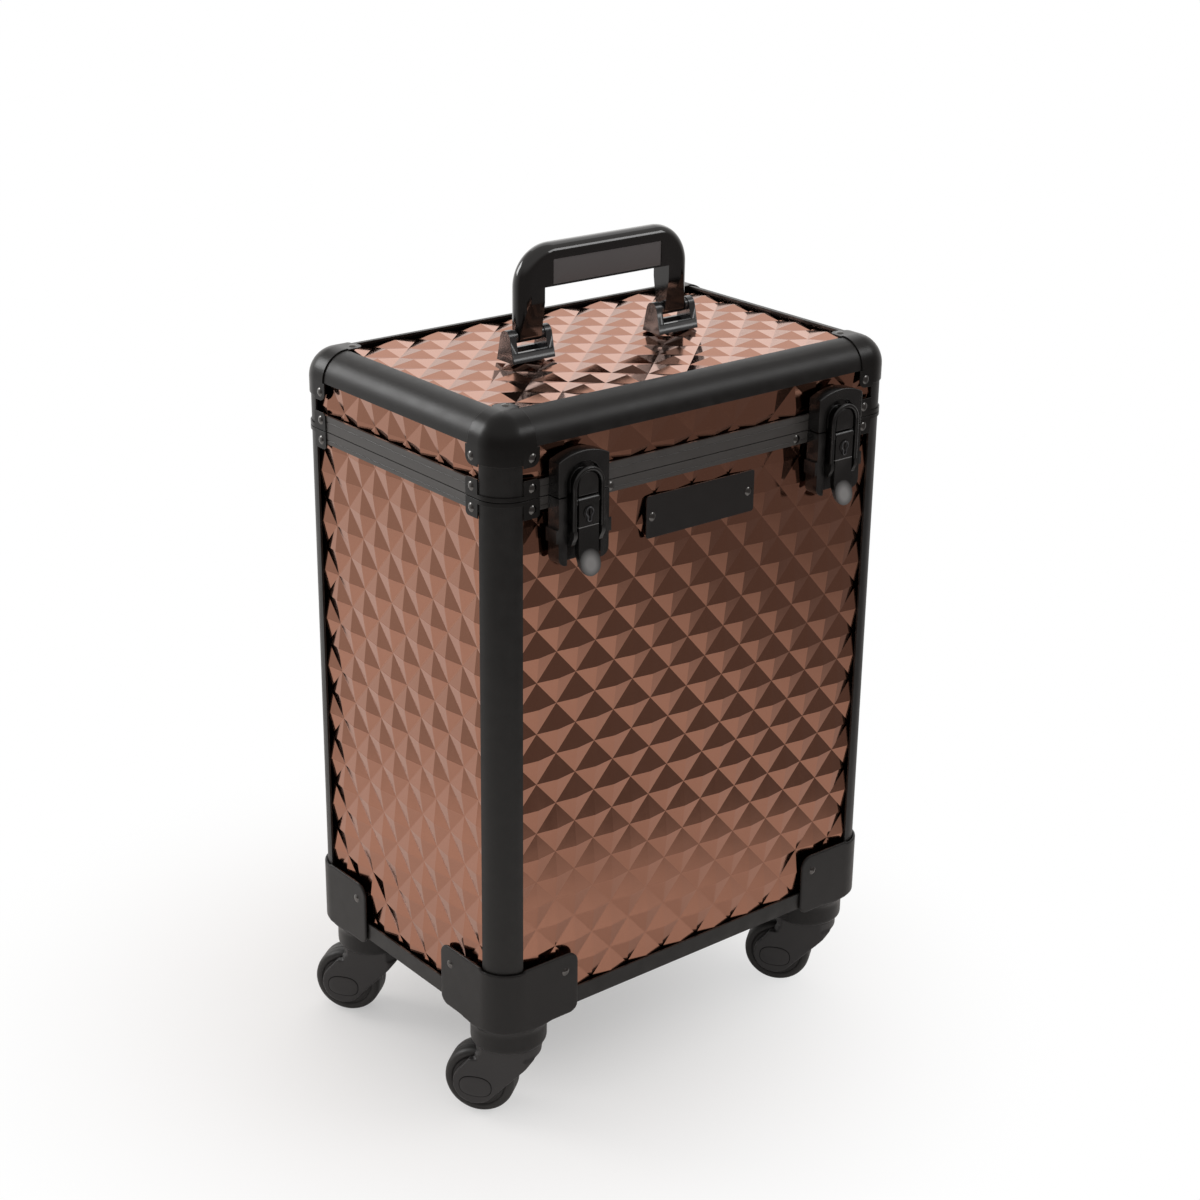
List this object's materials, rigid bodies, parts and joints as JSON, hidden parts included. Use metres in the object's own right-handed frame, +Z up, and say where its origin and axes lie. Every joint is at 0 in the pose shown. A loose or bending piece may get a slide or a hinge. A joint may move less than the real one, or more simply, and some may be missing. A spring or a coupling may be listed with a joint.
{
  "type": "rolling case",
  "caption": "Upright hard rolling case with a metal-framed body of embossed boards, a hinged lid, draw latches, a folding carry handle, a telescopic pull handle and swivel casters",
  "frame": {"origin": "centre of the whole outline, on the floor that the wheels stand on, with the lid shut, the carry handle up and the pull handle down", "axes": "+Z up; the wide front with the two latches faces -Y; +X is to the right of someone who faces that front from behind the case, so the case's left and right are as seen from in front"},
  "size_m": [0.3502, 0.2642, 0.585],
  "materials": {
    "board_film": "plywood under a copper-brown pearl film, embossed with raised diamonds",
    "base_board": "painted plywood",
    "frame_metal": "satin black anodised extrusion",
    "fitting_metal": "satin black enamel on pressed steel",
    "rivet_metal": "blackened domed steel",
    "lining_cloth": "short black pile on a stiff backing",
    "gloss_black": "polished moulded black",
    "latch_metal": "satin black die casting",
    "steel": "plain steel",
    "caster_black": "fine-grained moulded black nylon",
    "wheel_rubber": "matt black tread",
    "tube_metal": "dark anodised tube"
  },
  "bodies": {
    "case": {"front_board": "board_film", "back_board": "board_film", "left_board": "board_film", "right_board": "board_film", "floor_board": "base_board", "corner_posts": "frame_metal", "bottom_rails": "frame_metal", "body_rim": "frame_metal", "body_rim_brackets": "fitting_metal", "body_lining": "lining_cloth", "body_rivets": "rivet_metal", "name_plate": "gloss_black", "body_hinge_leaves": "fitting_metal", "hinge_pins": "steel", "latch_bases": "latch_metal", "latch_pins": "steel", "caster_housings": "caster_black", "swivel_bearings": "steel", "kingpins": "steel", "outer_tubes": "tube_metal", "tube_head": "caster_black", "tube_foot": "caster_black"},
    "lid": {"lid_board": "board_film", "lid_side_boards": "board_film", "lid_rails": "frame_metal", "lid_rim": "frame_metal", "lid_posts": "frame_metal", "lid_ball_corners": "fitting_metal", "lid_rim_brackets": "fitting_metal", "lid_lining": "lining_cloth", "lid_rivets": "rivet_metal", "lid_hinge_leaves": "fitting_metal", "latch_keepers": "latch_metal", "handle_brackets": "gloss_black", "handle_pins": "steel"},
    "carry_handle": {"carry_handle": "gloss_black", "handle_inserts": "caster_black"},
    "left_lever": {"left_lever": "latch_metal"},
    "right_lever": {"right_lever": "latch_metal"},
    "left_bail": {"left_bail": "latch_metal"},
    "right_bail": {"right_bail": "latch_metal"},
    "left_lock": {"left_lock": "latch_metal"},
    "right_lock": {"right_lock": "latch_metal"},
    "pull_middle": {"mid_tubes": "tube_metal"},
    "pull_grip": {"inner_tubes": "tube_metal", "pull_grip": "caster_black", "button_spring": "steel"},
    "release_button": {"release_button": "caster_black"},
    "front_left_fork": {"front_left_fork": "caster_black", "front_left_axle": "steel"},
    "front_left_wheel": {"front_left_wheel": "wheel_rubber"},
    "front_right_fork": {"front_right_fork": "caster_black", "front_right_axle": "steel"},
    "front_right_wheel": {"front_right_wheel": "wheel_rubber"},
    "back_left_fork": {"back_left_fork": "caster_black", "back_left_axle": "steel"},
    "back_left_wheel": {"back_left_wheel": "wheel_rubber"},
    "back_right_fork": {"back_right_fork": "caster_black", "back_right_axle": "steel"},
    "back_right_wheel": {"back_right_wheel": "wheel_rubber"}
  },
  "joints": [
    {"name": "lid_hinge", "type": "hinge", "parent": "case", "child": "lid", "pos_m": [0.0017, 0.11505, 0.4583], "axis": [-1, 0, 0], "range_deg": [0, 95]},
    {"name": "carry_handle_hinge", "type": "hinge", "parent": "lid", "child": "carry_handle", "pos_m": [0.0017, -0.00085, 0.5255], "axis": [1, 0, 0], "range_deg": [-90, 90]},
    {"name": "left_latch_lever", "type": "hinge", "parent": "case", "child": "left_lever", "pos_m": [-0.1093, -0.12475, 0.4546], "axis": [-1, 0, 0], "range_deg": [0, 90]},
    {"name": "left_latch_bail", "type": "hinge", "parent": "left_lever", "child": "left_bail", "pos_m": [-0.1093, -0.12465, 0.4286], "axis": [1, 0, 0], "range_deg": [0, 110]},
    {"name": "left_lock_turn", "type": "hinge", "parent": "left_lever", "child": "left_lock", "pos_m": [-0.1093, -0.12815, 0.4473], "axis": [0, 1, 0], "range_deg": [0, 90]},
    {"name": "right_latch_lever", "type": "hinge", "parent": "case", "child": "right_lever", "pos_m": [0.1127, -0.12475, 0.4546], "axis": [-1, 0, 0], "range_deg": [0, 90]},
    {"name": "right_latch_bail", "type": "hinge", "parent": "right_lever", "child": "right_bail", "pos_m": [0.1127, -0.12465, 0.4286], "axis": [1, 0, 0], "range_deg": [0, 110]},
    {"name": "right_lock_turn", "type": "hinge", "parent": "right_lever", "child": "right_lock", "pos_m": [0.1127, -0.12815, 0.4473], "axis": [0, 1, 0], "range_deg": [0, 90]},
    {"name": "pull_middle_slide", "type": "slide", "parent": "case", "child": "pull_middle", "axis": [0, 0, -1], "range_m": [-0.26, 0]},
    {"name": "pull_grip_slide", "type": "slide", "parent": "pull_middle", "child": "pull_grip", "axis": [0, 0, -1], "range_m": [-0.26, 0]},
    {"name": "release_button_press", "type": "slide", "parent": "pull_grip", "child": "release_button", "axis": [0, 0, -1], "range_m": [0, 0.003], "stiffness_N_per_m": 1500, "springref_m": -0.001, "deforming": ["button_spring"]},
    {"name": "front_left_swivel", "type": "hinge", "parent": "case", "child": "front_left_fork", "pos_m": [-0.1398, -0.08385, 0.0586], "axis": [0, 0, 1], "continuous": true},
    {"name": "front_left_roll", "type": "hinge", "parent": "front_left_fork", "child": "front_left_wheel", "pos_m": [-0.15113, -0.0686, 0.025], "axis": [-0.8028, -0.5962, 0], "continuous": true},
    {"name": "front_right_swivel", "type": "hinge", "parent": "case", "child": "front_right_fork", "pos_m": [0.1432, -0.08385, 0.0586], "axis": [0, 0, 1], "continuous": true},
    {"name": "front_right_roll", "type": "hinge", "parent": "front_right_fork", "child": "front_right_wheel", "pos_m": [0.13187, -0.0686, 0.025], "axis": [-0.8028, -0.5962, 0], "continuous": true},
    {"name": "back_left_swivel", "type": "hinge", "parent": "case", "child": "back_left_fork", "pos_m": [-0.1398, 0.08215, 0.0586], "axis": [0, 0, 1], "continuous": true},
    {"name": "back_left_roll", "type": "hinge", "parent": "back_left_fork", "child": "back_left_wheel", "pos_m": [-0.15113, 0.0974, 0.025], "axis": [-0.8028, -0.5962, 0], "continuous": true},
    {"name": "back_right_swivel", "type": "hinge", "parent": "case", "child": "back_right_fork", "pos_m": [0.1432, 0.08215, 0.0586], "axis": [0, 0, 1], "continuous": true},
    {"name": "back_right_roll", "type": "hinge", "parent": "back_right_fork", "child": "back_right_wheel", "pos_m": [0.13187, 0.0974, 0.025], "axis": [-0.8028, -0.5962, 0], "continuous": true}
  ],
  "couplings": [
    {"joint": "left_latch_bail", "follows": "left_latch_lever", "ratio": 1.15},
    {"joint": "right_latch_bail", "follows": "right_latch_lever", "ratio": 1.15}
  ]
}
